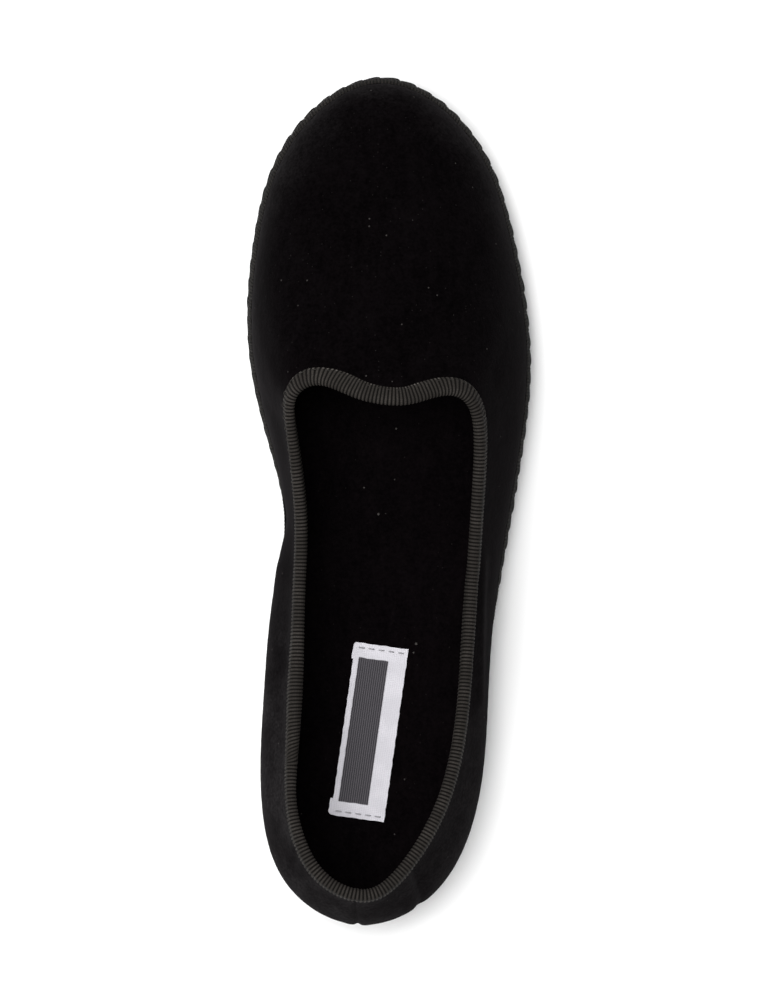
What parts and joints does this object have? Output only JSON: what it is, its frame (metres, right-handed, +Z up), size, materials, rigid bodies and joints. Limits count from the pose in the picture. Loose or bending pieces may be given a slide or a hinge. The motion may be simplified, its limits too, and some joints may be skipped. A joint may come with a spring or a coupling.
{
  "type": "velvet friulane shoe",
  "caption": "Soft right-foot slip-on with a hollow velvet upper, ribbon-bound collar and base, velvet footbed, layered cloth midsole and rubber outsole with chevron tread.",
  "frame": {"origin": "on the floor, under the middle of the shoe's bounding box", "axes": "+Y towards the toe, +X towards the little toe, +Z up"},
  "size_m": [0.084, 0.2482, 0.0589],
  "materials": {
    "rubber": "matt black rubber, moulded, slightly worn on the tread",
    "layered_cloth": "stacked black cloth layers with cut edges, quilted",
    "footbed_velvet": "short black velvet pile",
    "velvet": "short black velvet pile with a soft sheen at grazing angles",
    "grosgrain": "charcoal ribbed ribbon",
    "woven_tape": "white woven tape"
  },
  "bodies": {
    "root": {"outsole": "rubber", "midsole": "layered_cloth", "insole": "footbed_velvet", "upper": "velvet", "base_ribbon": "grosgrain", "collar_binding": "grosgrain", "label": "woven_tape"}
  },
  "joints": []
}
